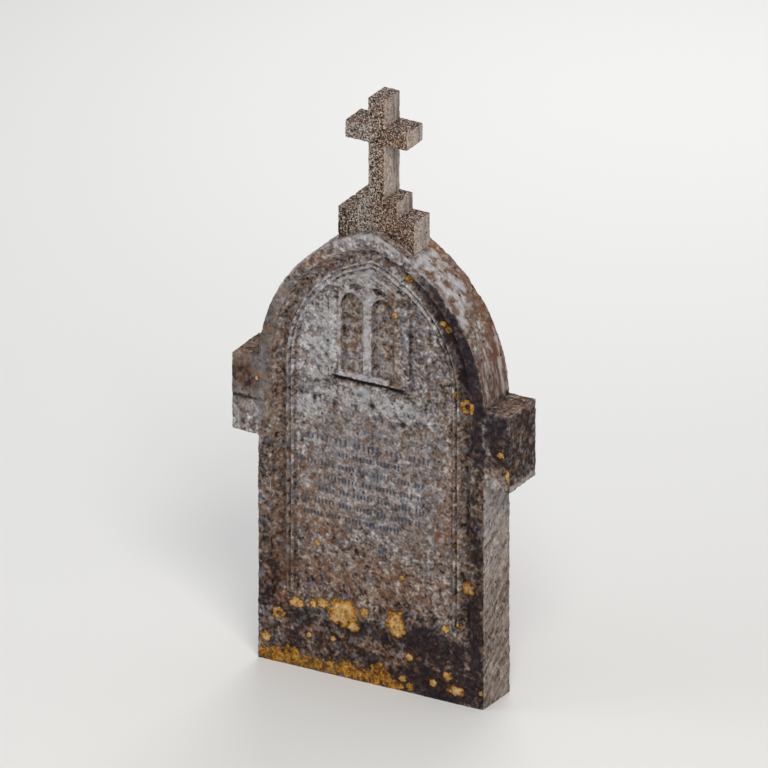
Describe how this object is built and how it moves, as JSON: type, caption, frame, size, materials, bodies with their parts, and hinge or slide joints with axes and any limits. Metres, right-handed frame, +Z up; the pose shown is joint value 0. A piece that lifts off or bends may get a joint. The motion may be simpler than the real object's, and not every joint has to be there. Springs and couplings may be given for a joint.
{
  "type": "gothic headstone",
  "caption": "Weathered upright grave slab with a pointed arch, side shoulders, a moulded panel with a carved window and inscription, and a stepped cross on its crown.",
  "frame": {"origin": "middle of the slab's underside, at ground level", "axes": "+Z up the stone, +X to the reader's right, -Y out of the carved front face"},
  "size_m": [0.844, 0.141, 1.678],
  "materials": {
    "slab_stone": "weathered, lichen-stained",
    "cross_stone": "weathered, speckled"
  },
  "bodies": {
    "root": {"slab": "slab_stone", "cross": "cross_stone"}
  },
  "joints": []
}
